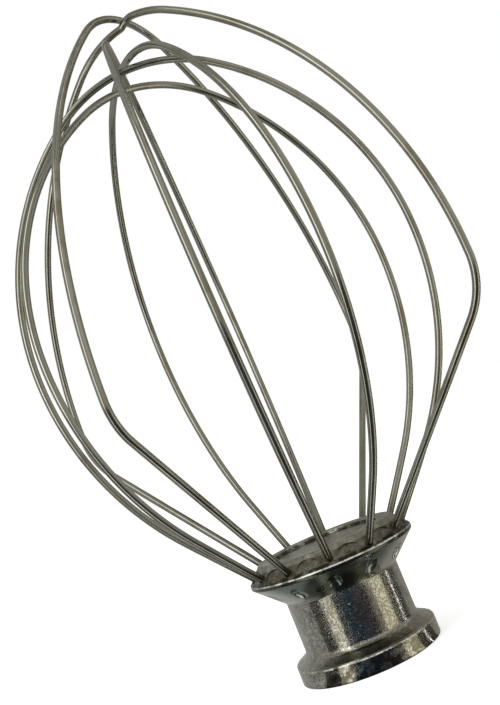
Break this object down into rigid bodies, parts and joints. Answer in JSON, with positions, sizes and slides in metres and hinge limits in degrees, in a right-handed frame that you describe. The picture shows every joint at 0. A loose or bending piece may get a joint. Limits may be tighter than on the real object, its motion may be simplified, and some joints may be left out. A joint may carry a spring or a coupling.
{
  "type": "stand mixer wire whisk",
  "caption": "Wire whisk for a stand mixer: bent steel wire loops held in a worn cast hub with a bayonet socket for the drive shaft.",
  "frame": {"origin": "mouth of the drive shaft bore, in the middle of the hub's flat foot", "axes": "+Z along the shaft axis from the foot to the tip of the wires, +X towards the pin's way into the bayonet slot"},
  "size_m": [0.1068, 0.1002, 0.1692],
  "materials": {
    "hub_metal": "worn burnished casting, pitted and stained",
    "wire_steel": "drawn wire with long streaks and dull brown grey wear"
  },
  "bodies": {
    "root": {"hub": "hub_metal", "wire_loop_1": "wire_steel", "wire_loop_2": "wire_steel", "wire_loop_3": "wire_steel", "wire_loop_4": "wire_steel", "wire_loop_5": "wire_steel", "wire_loop_6": "wire_steel"}
  },
  "joints": []
}
